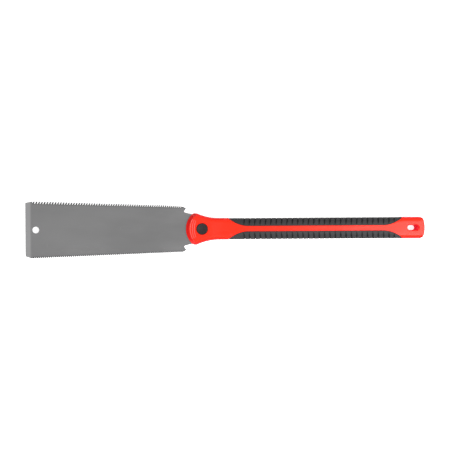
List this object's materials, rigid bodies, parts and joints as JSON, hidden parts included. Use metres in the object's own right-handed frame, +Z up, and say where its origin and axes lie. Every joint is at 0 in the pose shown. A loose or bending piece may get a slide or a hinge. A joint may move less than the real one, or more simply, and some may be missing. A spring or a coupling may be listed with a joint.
{
  "type": "japanese saw",
  "caption": "Double-edged japanese pull saw: a toothed steel blade held by a push-button latch in a long red handle with ribbed rubber grips and a hanging slot.",
  "frame": {"origin": "middle of the saw's footprint on the surface it lies on, at the height of that surface", "axes": "+X along the saw from the blade's tip to the handle's butt, +Y across it towards the coarse teeth, +Z up out of the side with the button"},
  "size_m": [0.5968, 0.0858, 0.0228],
  "materials": {
    "blade": "satin",
    "front_shell": "gloss",
    "back_shell": "gloss",
    "front_upper_grip": "matte",
    "front_lower_grip": "matte",
    "back_upper_grip": "matte",
    "back_lower_grip": "matte",
    "release_button": "matte",
    "button_stem": "satin",
    "latch_spring": "satin",
    "latch_screw": "satin",
    "front_liner": "satin",
    "back_liner": "satin",
    "upper_guide_rivet": "satin",
    "lower_guide_rivet": "satin",
    "stop_rivet": "satin",
    "head_upper_screw": "satin",
    "head_lower_screw": "satin",
    "neck_screw": "satin",
    "middle_screw": "satin",
    "rear_screw": "satin"
  },
  "bodies": {
    "handle": {"front_shell": "front_shell", "back_shell": "back_shell", "front_upper_grip": "front_upper_grip", "front_lower_grip": "front_lower_grip", "back_upper_grip": "back_upper_grip", "back_lower_grip": "back_lower_grip", "latch_spring": "latch_spring", "latch_screw": "latch_screw", "front_liner": "front_liner", "back_liner": "back_liner", "upper_guide_rivet": "upper_guide_rivet", "lower_guide_rivet": "lower_guide_rivet", "stop_rivet": "stop_rivet", "head_upper_screw": "head_upper_screw", "head_lower_screw": "head_lower_screw", "neck_screw": "neck_screw", "middle_screw": "middle_screw", "rear_screw": "rear_screw"},
    "blade": {"blade": "blade"},
    "button": {"release_button": "release_button", "button_stem": "button_stem"}
  },
  "joints": [
    {"name": "button_press", "type": "slide", "parent": "handle", "child": "button", "axis": [0, 0, -1], "range_m": [0, 0.002], "stiffness_N_per_m": 1500, "springref_m": -0.002, "deforming": ["latch_spring"]},
    {"name": "blade_pull", "type": "slide", "parent": "handle", "child": "blade", "axis": [-1, 0, 0], "range_m": [0, 0.045]}
  ]
}
